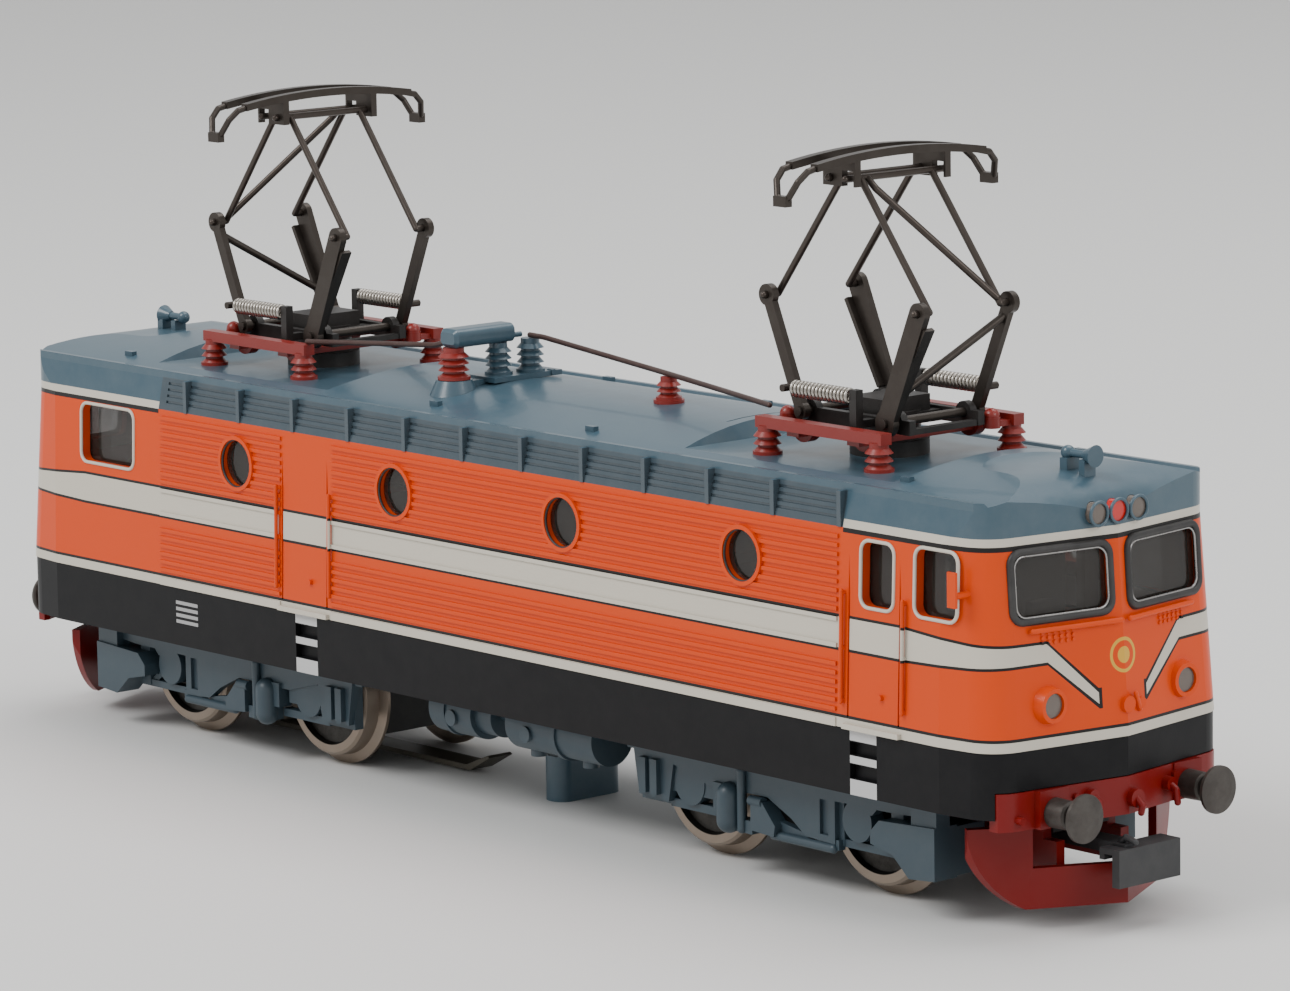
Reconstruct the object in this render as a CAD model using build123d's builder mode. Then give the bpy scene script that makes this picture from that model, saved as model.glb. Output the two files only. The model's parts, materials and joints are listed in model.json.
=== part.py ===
"""Model electric locomotive, 16.5 mm gauge, built as separate pieces in millimetres.

X runs along the locomotive (cab 1 at +X), Y across it, Z up. Z = 0 is the lowest point of the
wheel flanges; the wheel treads run one flange depth above that. Most of the layout repeats when
the locomotive is turned half a turn about Z, so many pieces are made once and turned.
"""
import math
import os

from build123d import *

os.makedirs("parts", exist_ok=True)

# ---------------------------------------------------------------- driving sizes
flange_depth = 1.2            # flange below tread
tread_radius = 7.23
half_over_buffers = 89.2      # buffer face from middle

# body plan at the bottom of the shell and at the roof joint
nose_x_low, nose_x_top = 85.6, 84.1
corner_x_low, corner_x_top = 83.0, 81.6
corner_y_low, corner_y_top = 16.6, 15.9
half_width_low, half_width_top = 17.45, 16.75
drawn_in_x = 76.0             # sides start to draw in towards the cab ends here
corner_radius = 4.0
wall = 1.2                    # shell wall

skirt_bottom_z = 12.5
shell_bottom_z = 19.35
roof_joint_z = 39.9
roof_eaves_z = 44.0
roof_crown_z = 46.3
pantograph_deck_z = 44.5

# side panels
rib_pitch, rib_height, rib_proud = 0.93, 0.42, 0.22
stripe_low_z, stripe_high_z = 27.5, 30.67
rear_rib_x0, rear_rib_x1 = -54.9, -31.9
main_rib_x0, main_rib_x1 = -22.6, 61.0
middle_door_x0, middle_door_x1 = -31.6, -23.4
cab_door_x0, cab_door_x1 = 62.7, 70.2
porthole_x = (-40.1, -11.2, 17.6, 46.4)
porthole_z, porthole_radius = 35.2, 2.75
window_corner = 1.1

# nose
front_window_y0, front_window_y1 = 1.35, 13.2
front_window_z0, front_window_z1 = 32.3, 39.1
low_lamp_y, low_lamp_z, low_lamp_radius = 9.5, 23.6, 1.3
top_lamp_z, top_lamp_pitch, top_lamp_radius = 42.2, 2.83, 1.15

# running gear
bogie_x = 46.25
half_wheelbase = 13.15
axle_z = flange_depth + tread_radius
axle_radius = 1.0
axle_running_gap = 0.05
wheel_inner_y, wheel_outer_y = 7.3, 10.3
buffer_y, buffer_z, buffer_head_radius = 9.6, 12.8, 2.5
coupler_pivot_x = 73.2

# pantographs
front_pantograph_x, rear_pantograph_x = 50.8, -45.4
pivot_x, pivot_z = 6.45, 48.9
knuckle_x, knuckle_z = 11.45, 60.7
head_bar_x, head_bar_z = 1.3, 73.8
arm_y = 6.4
wire_radius = 0.38
pin_gap = 0.05                # running clearance of the small pins
head_half_length, horn_tip_y, horn_tip_z = 12.0, 14.8, 71.9
insulator_x, insulator_y = 8.5, 9.5

files = []


def save(part, label):
    """Writes one piece to its own file under its own name."""
    part.label = label
    export_step(part, f"parts/{label}.step")
    files.append(label)


def turned(part):
    """The same piece turned half a turn about the middle of the locomotive."""
    return part.rotate(Axis.Z, 180)


def plan(z, inset=0.0):
    """Body plan at height z: straight sides, drawn-in cabs and a shallow V at each nose."""
    t = (z - shell_bottom_z) / (roof_joint_z - shell_bottom_z)
    t = min(max(t, 0.0), 1.0)

    def mix(low, top):
        return low + (top - low) * t

    nx, kx, ky = mix(nose_x_low, nose_x_top), mix(corner_x_low, corner_x_top), mix(corner_y_low, corner_y_top)
    w = mix(half_width_low, half_width_top)
    quarter = [(drawn_in_x, w), (kx, ky), (nx, 0)]
    points = quarter + [(x, -y) for x, y in quarter[1::-1]]
    points += [(-x, -y) for x, y in quarter] + [(-x, y) for x, y in quarter[1::-1]]
    with BuildSketch(Plane.XY.offset(z)) as s:
        with BuildLine(Plane.XY.offset(z)):
            Polyline(*points, close=True)
        make_face()
        corners = [v for v in s.vertices() if abs(abs(v.X) - kx) < 0.01]
        fillet(corners, corner_radius)
        if inset:
            offset(amount=-inset, kind=Kind.INTERSECTION)
    return s.sketch


def sleeve(z0, z1, inset, thickness):
    """Wall of the body between two heights, its outside face set in by inset."""
    outer = loft([plan(z0, inset).face(), plan(z1, inset).face()], ruled=True)
    inner = loft([plan(z0 - 0.001, inset + thickness).face(), plan(z1 + 0.001, inset + thickness).face()],
                 ruled=True)
    return outer - inner


def side_y(z):
    """Half width of the body side at height z."""
    t = (z - shell_bottom_z) / (roof_joint_z - shell_bottom_z)
    return half_width_low + (half_width_top - half_width_low) * t


def rod(points, radius):
    """A round wire through the points, with ball joints at the bends."""
    body = None
    for a, b in zip(points, points[1:]):
        a, b = Vector(*a), Vector(*b)
        with BuildPart(Plane(origin=a, z_dir=(b - a))) as piece:
            Cylinder(radius, (b - a).length, align=(Align.CENTER, Align.CENTER, Align.MIN))
            Sphere(radius)
        body = piece.part if body is None else body + piece.part
    with BuildPart(Plane(origin=Vector(*points[-1]))) as end:
        Sphere(radius)
    return body + end.part


def bar(a, b, width, height):
    """A flat bar between two points in one XZ plane, width along Y."""
    a, b = Vector(*a), Vector(*b)
    with BuildPart(Plane(origin=a, x_dir=(0, 1, 0), z_dir=(b - a))) as piece:
        Box(width, height, (b - a).length, align=(Align.CENTER, Align.CENTER, Align.MIN))
    return piece.part


def disc_y(x, y0, y1, z, radius):
    """A round disc or pin lying along Y."""
    with BuildPart(Plane(origin=(x, y0, z), z_dir=(0, 1, 0))) as piece:
        Cylinder(radius, y1 - y0, align=(Align.CENTER, Align.CENTER, Align.MIN))
    return piece.part


def disc_x(x0, x1, y, z, radius):
    """A round disc or pin lying along X."""
    with BuildPart(Plane(origin=(x0, y, z), z_dir=(1, 0, 0))) as piece:
        Cylinder(radius, x1 - x0, align=(Align.CENTER, Align.CENTER, Align.MIN))
    return piece.part


def block(x0, x1, y0, y1, z0, z1):
    """A box from corner to corner."""
    with BuildPart(Plane(origin=(x0, y0, z0))) as piece:
        Box(x1 - x0, y1 - y0, z1 - z0, align=(Align.MIN, Align.MIN, Align.MIN))
    return piece.part


def rounded_opening(x0, x1, z0, z1, y0, y1, radius):
    """A window opening with round corners through a side, between two Y values."""
    with BuildPart() as piece:
        with BuildSketch(Plane(origin=((x0 + x1) / 2, y0, (z0 + z1) / 2), x_dir=(1, 0, 0), z_dir=(0, -1, 0))):
            RectangleRounded(x1 - x0, z1 - z0, radius)
        extrude(amount=-(y1 - y0))
    return piece.part


def nose_opening(y0, y1, z0, z1, x0, x1, radius):
    """A window opening with round corners through the nose, between two X values."""
    with BuildPart() as piece:
        with BuildSketch(Plane(origin=(x0, (y0 + y1) / 2, (z0 + z1) / 2), x_dir=(0, 1, 0), z_dir=(1, 0, 0))):
            RectangleRounded(y1 - y0, z1 - z0, radius)
        extrude(amount=x1 - x0)
    return piece.part


# openings of one side, as (x0, x1, z0, z1): the side that faces -Y
side_windows = [
    (64.4, 69.2, 32.15, 38.95),      # cab door
    (72.3, 78.4, 32.2, 39.2),        # driver's window
    (-70.6, -60.2, 32.2, 39.1),      # driver's window at the other cab
]

# ---------------------------------------------------------------- body shell
shell = sleeve(shell_bottom_z, roof_joint_z, 0, wall)
extra, cuts = [], []
rib_rows = [shell_bottom_z + 1.35 + rib_pitch * (i + 0.5) for i in range(6)]
rib_rows += [stripe_high_z + 0.35 + rib_pitch * (i + 0.5) for i in range(9)]
for z in rib_rows:
    y = side_y(z)
    for x0, x1 in ((rear_rib_x0, rear_rib_x1), (main_rib_x0, main_rib_x1)):
        extra.append(block(x0, x1, -y - rib_proud, -y + 0.5, z - rib_height / 2, z + rib_height / 2))
# stripe rails and sill rail stand slightly proud along the ribbed length
for z0, z1, proud in ((stripe_low_z, stripe_low_z + 0.45, 0.2), (stripe_high_z - 0.45, stripe_high_z, 0.2),
                      (shell_bottom_z, shell_bottom_z + 0.95, 0.15)):
    y = side_y((z0 + z1) / 2)
    for x0, x1 in ((rear_rib_x0, rear_rib_x1), (main_rib_x0, main_rib_x1)):
        extra.append(block(x0, x1, -y - proud, -y + 0.5, z0, z1))
# porthole rims
for x in porthole_x:
    extra.append(disc_y(x, -side_y(porthole_z) - 0.4, -side_y(porthole_z) + 0.6, porthole_z,
                        porthole_radius + 0.45))
    cuts.append(disc_y(x, -20, -14, porthole_z, porthole_radius))
# door edges: narrow grooves down each side of a door
for x0, x1 in ((cab_door_x0, cab_door_x1), (middle_door_x0, middle_door_x1)):
    for x in (x0, x1):
        cuts.append(block(x - 0.12, x + 0.12, -18, -side_y(30) + 0.25, shell_bottom_z + 1.2, 39.4))
    # grab rails beside the door and the door step
    for x in (x0 - 0.75, x1 + 0.75):
        extra.append(rod([(x, -side_y(23) - 0.35, 22.0), (x, -side_y(34) - 0.45, 33.5)], 0.22))
        for z in (22.2, 27.6, 33.3):
            extra.append(disc_y(x, -side_y(z) - 0.4, -side_y(z) + 0.4, z, 0.24))
    extra.append(block(x0 - 0.4, x1 + 0.4, -17.95, -16.9, shell_bottom_z, shell_bottom_z + 0.55))
    extra.append(disc_y((x0 + x1) / 2 + 1.2, -17.7, -16.9, 23.2, 0.3))
for x0, x1, z0, z1 in side_windows:
    cuts.append(rounded_opening(x0, x1, z0, z1, -20, -14, window_corner))
# driver's mirror
extra.append(disc_y(79.3, -18.1, -16.0, 35.2, 0.35))
extra.append(block(78.0, 79.6, -18.35, -18.05, 34.0, 37.6))
# nose rails under the windows, lamp rims and the socket
for sign in (1, -1):
    extra.append(rod([(85.2, sign * 0.6, 31.25), (83.35, sign * 11.4, 31.25)], 0.28))
    cuts.append(nose_opening(min(sign * front_window_y0, sign * front_window_y1),
                             max(sign * front_window_y0, sign * front_window_y1),
                             front_window_z0, front_window_z1, 78, 90, window_corner))
    with BuildPart(Plane(origin=(82.4, sign * low_lamp_y, low_lamp_z), z_dir=(1, 0, 0))) as rim:
        Cone(2.3, 1.75, 2.2, align=(Align.CENTER, Align.CENTER, Align.MIN))
    extra.append(rim.part)
    cuts.append(disc_x(80, 90, sign * low_lamp_y, low_lamp_z, low_lamp_radius))
extra.append(disc_x(84.0, 85.75, 0, 22.6, 0.85))
extra.append(disc_x(84.0, 85.6, 1.9, 22.5, 0.6))
extra.append(rod([(85.3, 1.9, 21.8), (85.7, 0.9, 23.6)], 0.25))
shell = shell + (extra + [turned(tool) for tool in extra])
shell = shell - (cuts + [turned(tool) for tool in cuts])
save(shell, "body_shell")

# ---------------------------------------------------------------- roof
with BuildPart() as roof_section:
    # cross section: louvred side band, gutter lip and a crowned top
    with BuildSketch(Plane.YZ.offset(-nose_x_top - 2)):
        with BuildLine():
            w = half_width_top
            left = [(-w, roof_joint_z), (-w + 0.75, roof_eaves_z - 0.5), (-w + 0.75, roof_eaves_z + 0.35),
                    (-w + 1.35, roof_eaves_z + 0.35), (-w + 1.6, roof_eaves_z - 0.05)]
            right = [(-y, z) for y, z in reversed(left)]
            Polyline(*left)
            Spline(left[-1], (-8, roof_crown_z - 0.7), (0, roof_crown_z), (8, roof_crown_z - 0.7), right[0])
            Polyline(*right)
            Line(right[-1], left[0])
        make_face()
    extrude(amount=2 * nose_x_top + 4)
with BuildPart() as roof_profile:
    # side view: flat crown that rolls over to each nose
    with BuildSketch(Plane.XZ.offset(-20)):
        with BuildLine():
            edge = [(nose_x_top, roof_joint_z), (nose_x_top - 0.1, roof_joint_z + 1.3)]
            Polyline((-edge[0][0], edge[0][1]), (edge[0][0], edge[0][1]), edge[1])
            Spline(edge[1], (nose_x_top - 1.7, roof_eaves_z + 0.1), (nose_x_top - 5.5, roof_crown_z - 0.75),
                   (nose_x_top - 15, roof_crown_z))
            Line((nose_x_top - 15, roof_crown_z), (-nose_x_top + 15, roof_crown_z))
            Spline((-nose_x_top + 15, roof_crown_z), (-nose_x_top + 5.5, roof_crown_z - 0.75),
                   (-nose_x_top + 1.7, roof_eaves_z + 0.1), (-edge[1][0], edge[1][1]))
            Line((-edge[1][0], edge[1][1]), (-edge[0][0], edge[0][1]))
        make_face()
    extrude(amount=40)
with BuildPart() as roof_plan:
    with BuildSketch(Plane.XY.offset(roof_joint_z)):
        add(plan(roof_joint_z))
    extrude(amount=roof_crown_z + 1 - roof_joint_z)
roof = roof_section.part & roof_profile.part & roof_plan.part
hollow = []
with BuildPart() as inside:
    with BuildSketch(Plane.XY.offset(roof_joint_z - 0.5)):
        add(plan(roof_joint_z, wall + 0.6))
    extrude(amount=3.2, taper=12)
hollow.append(inside.part)
# flat decks let into the crown for the two pantographs, with sloping ends
for x0, x1 in ((front_pantograph_x - 17.5, front_pantograph_x + 14.5), (rear_pantograph_x - 14.5, rear_pantograph_x + 17.5)):
    with BuildPart() as deck:
        with BuildSketch(Plane.XY.offset(pantograph_deck_z)):
            with Locations(((x0 + x1) / 2, 0)):
                Rectangle(x1 - x0, 40)
        extrude(amount=3, taper=-35)
    hollow.append(deck.part)
louvres = []
band_centre = (roof_joint_z + roof_eaves_z) / 2
for side in (1, -1):
    for i in range(4):
        z = roof_joint_z + 0.8 + 0.7 * i
        y = half_width_top - 0.75 * (z - roof_joint_z) / (roof_eaves_z - 0.5 - roof_joint_z)
        hollow.append(block(-54, 61, side * y - 0.18, side * y + 0.18, z, z + 0.3))
    for i in range(12):
        x = side * (61.1 - 10.1 * i)
        if -55 < side * x < 62:
            louvres.append(block(x - 0.3, x + 0.3, side * (-16.9) - (0 if side > 0 else 0.9),
                                 side * (-16.9) + (0.9 if side > 0 else 0), roof_joint_z, roof_eaves_z - 0.4))
    # lamp housing at each nose
    with BuildPart(Plane(origin=(side * (nose_x_top - 5), 0, top_lamp_z), z_dir=(side, 0, 0))) as housing:
        with BuildSketch():
            RectangleRounded(2 * top_lamp_radius + 1.3, 2 * top_lamp_pitch + 2 * top_lamp_radius + 1.3, 1.6)
        extrude(amount=5.15)
    louvres.append(housing.part)
    # two low hatch seams and cover screws
for x in (-28.6, 30.4):
    hollow.append(block(x - 0.12, x + 0.12, -14, 14, roof_crown_z - 0.25, roof_crown_z + 1))
lamp_bores = [disc_x(*sorted((side * 70, side * 90)), i * top_lamp_pitch, top_lamp_z, top_lamp_radius)
              for side in (1, -1) for i in (-1, 0, 1)]
screws = []
for x, y in ((17.6, 12.6), (17.6, -12.6), (-9.0, 12.6), (-9.0, -12.6), (66.5, 12.4), (66.5, -12.4),
             (-66.5, 12.4), (-66.5, -12.4)):
    screws.append(block(x - 0.7, x + 0.7, y - 0.35, y + 0.35, roof_eaves_z - 0.5, roof_eaves_z + 1.15))
roof = roof - hollow
roof = roof + (louvres + screws)
roof = roof - lamp_bores
save(roof, "roof")

# ---------------------------------------------------------------- underframe skirt
skirt = sleeve(skirt_bottom_z, shell_bottom_z - 0.05, 0.12, 1.3)
with BuildPart() as floor:
    with BuildSketch(Plane.XY.offset(17.6)):
        add(plan(shell_bottom_z, 1.0))
    extrude(amount=shell_bottom_z - 0.05 - 17.6)
# opening over each bogie for the drive block, a bore for the pivot screw
skirt = skirt + floor.part
openings = []
for side in (1, -1):
    x0, x1 = sorted((side * (bogie_x + 5.5), side * (bogie_x + 19.0)))
    openings.append(block(x0, x1, -11, 11, 15, 21))
    with BuildPart(Plane(origin=(side * bogie_x, 0, 10))) as bore:
        Cylinder(1.1, 12, align=(Align.CENTER, Align.CENTER, Align.MIN))
    openings.append(bore.part)
    # gap for the buffer beam
    openings.append(block(*sorted((side * 81.2, side * 90)), -15.7, 15.7, 10, 15.3))
    for y in (-14, 14):
        with BuildPart(Plane(origin=(side * 70, y, 10))) as bore:
            Cylinder(0.85, 12, align=(Align.CENTER, Align.CENTER, Align.MIN))
        openings.append(bore.part)
# steps under the doors: three recesses one above the other on each door line
for x in (-27.4, 64.9):
    for z0, z1 in ((16.65, 18.05), (14.2, 15.75)):
        for turn in (0, 1):
            step = block(x - 2.0, x + 2.0, -18, -16.55, z0, z1)
            openings.append(turned(step) if turn else step)
skirt = skirt - openings
save(skirt, "skirt_frame")

# buffer beams
for label, turn in (("buffer_beam_front", 0), ("buffer_beam_rear", 1)):
    beam = sleeve(11.3, 15.2, 0.0, 1.4) & block(81.4, 90, -15.6, 15.6, 11.0, 15.25)
    bolts = [disc_x(84.0, 86.3, 0.6, 12.9, 0.95), disc_x(84.0, 85.6, -4.9, 13.8, 0.75),
             disc_x(84.0, 85.6, 6.3, 13.4, 0.75), disc_x(83.6, 84.9, -6.6, 13.9, 0.4),
             disc_x(83.6, 84.9, 7.6, 14.1, 0.4), disc_x(83.0, 84.2, -13.6, 12.4, 0.4),
             disc_x(83.0, 84.2, 13.6, 12.4, 0.4),
             rod([(86.1, 0.6, 12.9), (86.9, 0.6, 12.2), (86.7, 0.6, 11.5)], 0.35),
             rod([(85.2, -4.9, 13.8), (86.1, -4.9, 13.3), (86.3, -4.9, 11.9)], 0.35),
             rod([(85.2, 6.3, 13.4), (86.1, 6.3, 12.9), (86.3, 6.3, 11.6)], 0.35)]
    for y in (-buffer_y, buffer_y):
        bolts.append(block(83.1, 84.6, y - 2.0, y + 2.0, 11.3, 15.2))
    beam = beam + bolts
    # lug that reaches back under the floor and takes the buffer shanks
    beam = beam + block(78.5, 82.4, -13.5, 13.5, 14.2, 15.2)
    beam = beam - [disc_x(80, 88, y, buffer_z, 1.0) for y in (-buffer_y, buffer_y)]
    save(turned(beam) if turn else beam, label)

# buffers, turned metal
for label, y, turn in (("buffer_front_left", buffer_y, 0), ("buffer_front_right", -buffer_y, 0),
                       ("buffer_rear_left", -buffer_y, 1), ("buffer_rear_right", buffer_y, 1)):
    tip, head_r = half_over_buffers, buffer_head_radius
    with BuildPart() as buffer:
        with BuildSketch(Plane.XZ):
            with BuildLine():
                Polyline((82.0, 0), (82.0, 0.95), (84.62, 0.95), (84.62, 1.55), (86.9, 1.5), (87.1, 1.25), (87.1, 0.9),
                         (tip - 1.0, 0.9), (tip - 0.75, head_r - 0.2), (tip - 0.6, head_r), (tip - 0.25, head_r),
                         (tip - 0.1, 1.7), (tip, 0.8), (tip, 0), close=True)
            make_face()
        revolve(axis=Axis.X)
    placed = buffer.part.translate((0, y, buffer_z))
    save(turned(placed) if turn else placed, label)

# ---------------------------------------------------------------- lamps and glazing
lens_gap = 0.04
for end, turn in (("front", 0), ("rear", 1)):
    # one clear light guide feeds the five lamps of an end
    guide = block(79.2, 80.4, -4.2, 4.2, roof_joint_z + 0.1, top_lamp_z + 1.2)
    stubs = []
    for i in (-1, 1):
        stubs.append(disc_x(80.0, nose_x_top + 0.05, i * top_lamp_pitch, top_lamp_z, top_lamp_radius - lens_gap))
    stubs.append(block(79.2, 80.4, -1.0, 1.0, low_lamp_z - 1.2, roof_joint_z + 0.2))
    stubs.append(block(79.2, 80.4, -low_lamp_y - 1.4, low_lamp_y + 1.4, low_lamp_z - 1.4, low_lamp_z + 1.4))
    for i in (-1, 1):
        stubs.append(disc_x(80.0, 84.3, i * low_lamp_y, low_lamp_z, low_lamp_radius - lens_gap))
    guide = guide + stubs
    guide = guide - [disc_x(78, 82.3, 0, top_lamp_z, 1.3), roof]
    guide = sorted(guide.solids(), key=lambda solid: solid.volume)[-1]
    save(turned(guide) if turn else guide, f"light_guide_{end}")
    red = disc_x(80.6, nose_x_top + 0.05, 0, top_lamp_z, top_lamp_radius - lens_gap)
    red = red + disc_x(79.0, 81.0, 0, top_lamp_z, 0.9)
    save(turned(red) if turn else red, f"red_lamp_lens_{end}")

glass = 0.7
for end, turn in (("front", 0), ("rear", 1)):
    # a clear tray that lines each cab: two nose panes joined by the driver's side panes
    tray = sleeve(front_window_z0 - 1.2, front_window_z1 + 0.6, wall + 0.08, glass)
    keep = block(71.2, 90, -20, 20, 25, 45)
    tray = tray & keep
    panes = []
    for sign in (1, -1):
        ys = sorted((sign * (front_window_y0 + 0.08), sign * (front_window_y1 - 0.08)))
        pane = nose_opening(ys[0], ys[1], front_window_z0 + 0.08, front_window_z1 - 0.08, 78, 90, window_corner)
        panes.append(pane & sleeve(front_window_z0, front_window_z1, 0.45, 1.2))
    tray = tray + panes
    tray = tray - disc_x(70, 84.6, 0, 35, 0.9)
    save(turned(tray) if turn else tray, f"cab_glazing_{end}")
for label, turn in (("side_glazing_right", 0), ("side_glazing_left", 1)):
    y0 = side_y(front_window_z0 - 2) - wall - 0.6
    strip = []
    with BuildPart(Plane(origin=(0, -side_y(35.2) + wall + 0.12, 35.2), x_dir=(1, 0, 0), z_dir=(0, 1, -0.034))) as pane:
        Box(141.8, 8.6, glass, align=(Align.CENTER, Align.CENTER, Align.MIN))
    strip = pane.part
    lens = [disc_y(x, -side_y(porthole_z) + 0.55, -side_y(porthole_z) + wall + 0.5, porthole_z,
                   porthole_radius - 0.06) for x in porthole_x]
    strip = strip + lens
    save(turned(strip) if turn else strip, label)

# ---------------------------------------------------------------- cab interiors and ballast
for end, turn in (("front", 0), ("rear", 1)):
    desk = block(62.0, 78.4, -14.6, 14.6, 19.4, 20.6)
    desk = desk + [block(74.6, 78.4, -13.5, 13.5, 20.4, 29.6), block(60.8, 62.0, -14.6, 14.6, 19.4, 38.6),
                   block(66.4, 69.6, -8.6, -5.4, 20.4, 25.4), block(65.4, 66.4, -8.6, -5.4, 20.4, 29.8),
                   block(66.4, 69.6, 5.4, 8.6, 20.4, 25.4), block(65.4, 66.4, 5.4, 8.6, 20.4, 29.8)]
    desk = desk - [block(50, 66.2, -11, 11, 19.0, 25.4), block(78.0, 79, -3, 3, 19, 31),
                   block(68.9, 71.1, -15, -12.9, 19, 21), block(68.9, 71.1, 12.9, 15, 19, 21)]
    save(turned(desk) if turn else desk, f"cab_interior_{end}")
with BuildPart() as ballast:
    with BuildSketch(Plane.XY.offset(shell_bottom_z + 0.05)):
        Rectangle(60, 24)
    extrude(amount=12)
    fillet(ballast.edges().filter_by(Axis.Z), 2)
    chamfer(ballast.faces().sort_by(Axis.Z)[-1].edges(), 1)
save(ballast.part, "ballast_block")

# ---------------------------------------------------------------- roof equipment
def ribbed_post(x, y, z0, z1, radius, ribs):
    """An insulator: a round post with sheds spaced up its length."""
    with BuildPart(Plane(origin=(x, y, z0))) as post:
        Cylinder(radius * 0.68, z1 - z0, align=(Align.CENTER, Align.CENTER, Align.MIN))
        step = (z1 - z0 - 0.5) / ribs
        for i in range(ribs):
            with Locations((0, 0, 0.25 + step * i)):
                Cone(radius, radius * 0.72, step * 0.6, align=(Align.CENTER, Align.CENTER, Align.MIN))
        Cylinder(radius * 1.05, 0.35, align=(Align.CENTER, Align.CENTER, Align.MIN))
    return post.part


breaker_x = -11.0
plate = block(breaker_x - 1.9, breaker_x + 2.6, -4.6, 5.2, roof_crown_z - 0.02, roof_crown_z + 0.55)
with BuildPart(Plane(origin=(breaker_x - 0.4, -8.0, 44.9))) as foot:
    Cone(2.9, 2.0, 1.9, align=(Align.CENTER, Align.CENTER, Align.MIN))
plate = plate + [foot.part, block(breaker_x - 1.2, breaker_x + 0.8, -7.0, -4.0, 45.7, 46.6),
                 disc_x(breaker_x + 1.8, breaker_x + 2.75, 3.9, roof_crown_z + 0.35, 0.35)]
plate = (plate + [ribbed_post(breaker_x, -1.9, roof_crown_z + 0.5, 50.4, 1.5, 4),
                  ribbed_post(breaker_x + 0.9, 2.0, roof_crown_z + 0.5, 50.6, 1.55, 4)]) - roof
save(plate, "breaker_base_plate")
save(ribbed_post(breaker_x - 0.4, -8.0, 46.85, 50.4, 1.75, 4), "breaker_post_red")
with BuildPart() as breaker:
    with BuildSketch(Plane.XZ.offset(9.0)):
        with Locations((breaker_x - 0.2, 51.5)):
            RectangleRounded(3.2, 2.1, 0.8)
    extrude(amount=-8.4)
    chamfer(breaker.faces().sort_by(Axis.Y)[0].edges(), 0.4)
box = breaker.part + [disc_y(breaker_x, -1.0, 1.4, 51.0, 0.3)]
save(box, "breaker_box")
with BuildPart(Plane(origin=(16.5, -0.6, roof_crown_z - 0.05))) as base:
    Cylinder(1.7, 0.4, align=(Align.CENTER, Align.CENTER, Align.MIN))
post = base.part + ribbed_post(16.5, -0.6, roof_crown_z + 0.3, 49.1, 1.35, 3)
post = post - roof
save(post, "conductor_post_red")
save(rod([(breaker_x + 0.9, 2.0, 50.6 + 0.32), (breaker_x + 3.4, 1.9, 50.9), (16.5, -0.6, 49.1 + 0.3),
          (29.0, -4.0, 49.25), (40.9, -7.9, 49.3)], 0.3), "conductor_front")
save(rod([(breaker_x - 1.4, -8.1, 50.9), (breaker_x - 4.0, -7.8, 50.3), (-36.2, -9.4, 48.85)], 0.3)
     - breaker.part, "conductor_rear")

for end, x, sign in (("front", 79.0, 1), ("rear", -74.6, -1)):
    with BuildPart(Plane(origin=(x - 1.9 * sign, 0, 47.35), z_dir=(sign, 0, 0))) as trumpet:
        Sphere(0.75)
        Cylinder(0.42, 3.2, align=(Align.CENTER, Align.CENTER, Align.MIN))
        with Locations((0, 0, 2.4)):
            Cone(0.5, 1.15, 1.5, align=(Align.CENTER, Align.CENTER, Align.MIN))
    feet = [block(x - 2.2, x - 1.2, -0.9, 0.9, 44.6, 46.9), block(x + 0.4, x + 1.2, -0.8, 0.8, 44.4, 46.9)]
    horn = (trumpet.part + feet) - roof
    save(horn, f"horn_{end}")

# ---------------------------------------------------------------- pantographs
def eye(piece, x, z, y0, y1, radius, hole):
    """Adds a round eye along Y to an arm and bores it."""
    return (piece + disc_y(x, y0, y1, z, radius)) - disc_y(x, y0 - 0.5, y1 + 0.5, z, hole)


def lower_frame(side, braced):
    """Lower frame on one pivot shaft: side is +1 for the frame that leans to +X.

    The arm at side * +Y is the thin one when looking from its own end.
    """
    px, kx = side * pivot_x, side * knuckle_x
    frame = disc_y(px, -arm_y - 0.7, arm_y + 0.7, pivot_z, 0.5)
    for y, width in ((side * arm_y, 1.3), (-side * arm_y, 2.3)):
        arm = bar((px, y, pivot_z), (kx, y, knuckle_z), 0.8, width)
        arm = arm + [disc_y(px, y - 0.4, y + 0.4, pivot_z, width / 2 + 0.25)]
        # flanges make the wide arm a channel
        if width > 2:
            arm = arm + bar((px + side * 0.75, y - 0.5 * (1 if y > 0 else -1), pivot_z + 1.2),
                            (kx + side * 0.75, y - 0.5 * (1 if y > 0 else -1), knuckle_z - 1.6), 1.4, 0.5)
        frame = frame + arm
        frame = eye(frame, kx, knuckle_z, y - 0.4, y + 0.4, 1.15, wire_radius + pin_gap)
        frame = frame - disc_y(kx, y - 1.6, y + 1.6, knuckle_z, wire_radius + pin_gap)
    if braced:
        low = (px + side * 1.1, -side * (arm_y - 0.2), pivot_z + 2.6)
        high = (kx - side * 0.65, side * (arm_y - 0.2), knuckle_z - 1.5)
        frame = frame + rod([low, high], 0.42)
    # spring lug outside the thin arm of frame A and the thin arm of frame B
    lug_x, lug_z = px + side * 0.95, pivot_z + 2.5
    frame = frame + disc_y(lug_x, *sorted((side * (arm_y - 0.3), side * (arm_y + 2.0))), lug_z, 0.4)
    return frame


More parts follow.
